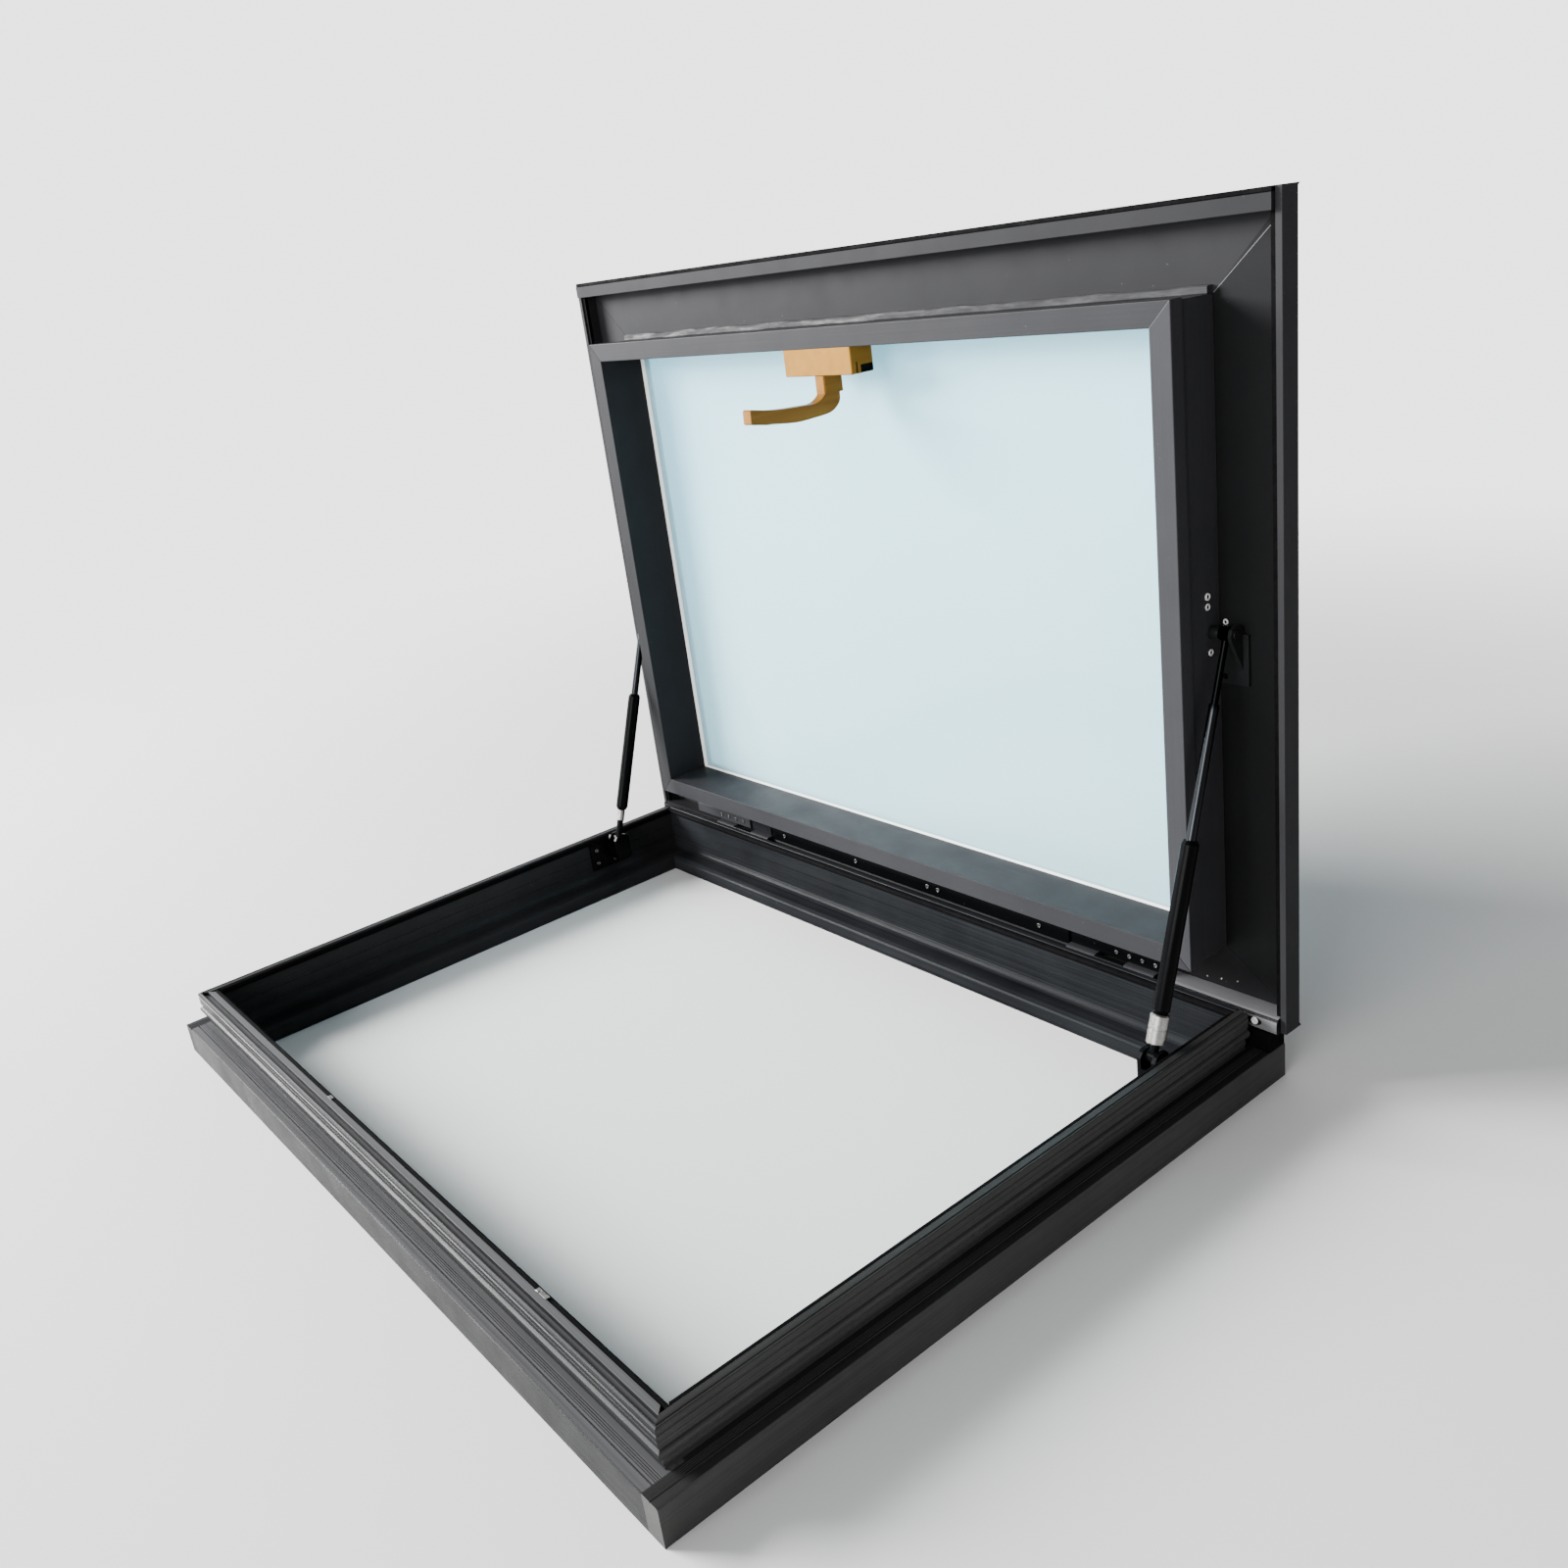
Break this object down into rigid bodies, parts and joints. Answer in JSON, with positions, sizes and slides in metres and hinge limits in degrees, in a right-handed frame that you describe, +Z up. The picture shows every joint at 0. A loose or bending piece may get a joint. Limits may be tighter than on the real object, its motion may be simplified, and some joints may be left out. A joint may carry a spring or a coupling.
{
  "type": "roof window",
  "caption": "Top-hinged roof window standing open: a stepped aluminium curb frame lying flat, a glazed sash hinged on its rear rail, gas struts and a lever handle.",
  "frame": {"origin": "centre of the standing-open window's bounding box in plan, on the underside of the curb", "axes": "+X along the hinge line, +Y to the hinge side, +Z up out of the roof opening"},
  "size_m": [0.82, 0.605, 0.639],
  "materials": {
    "curb_aluminium": "satin black-grey coating",
    "sash_aluminium": "satin black-grey coating",
    "black_rubber": "matt",
    "clear_glass": "clear",
    "pale_spacer": "satin",
    "gold_handle": "champagne gold, satin",
    "bright_steel": "satin",
    "black_steel": "semi-gloss black"
  },
  "bodies": {
    "root": {"front_base_rail": "curb_aluminium", "front_base_seal": "black_rubber", "front_cover_rail": "sash_aluminium", "front_cover_seal": "black_rubber", "front_inner_rail": "sash_aluminium", "glass_bond_strip": "black_rubber", "glazing_spacer": "pale_spacer", "handle_box": "gold_handle", "handle_lever": "gold_handle", "inner_glass_pane": "clear_glass", "left_base_rail": "curb_aluminium", "left_base_seal": "black_rubber", "left_cover_rail": "sash_aluminium", "left_cover_seal": "black_rubber", "left_hinge_base_leaf": "black_steel", "left_hinge_sash_leaf": "sash_aluminium", "left_inner_rail": "sash_aluminium", "left_latch_keeper": "bright_steel", "left_strut_eye": "black_steel", "left_strut_ferrule": "bright_steel", "left_strut_foot": "black_steel", "left_strut_head": "black_steel", "left_strut_rod": "black_steel", "left_strut_tube": "black_steel", "outer_glass_pane": "clear_glass", "rear_base_rail": "curb_aluminium", "rear_base_seal": "black_rubber", "rear_cover_rail": "sash_aluminium", "rear_inner_rail": "sash_aluminium", "right_base_rail": "curb_aluminium", "right_base_seal": "black_rubber", "right_cover_rail": "sash_aluminium", "right_cover_seal": "black_rubber", "right_hinge_base_leaf": "black_steel", "right_hinge_sash_leaf": "sash_aluminium", "right_inner_rail": "sash_aluminium", "right_latch_keeper": "bright_steel", "right_strut_eye": "black_steel", "right_strut_ferrule": "bright_steel", "right_strut_foot": "black_steel", "right_strut_head": "black_steel", "right_strut_rod": "black_steel", "right_strut_tube": "black_steel"}
  },
  "joints": []
}
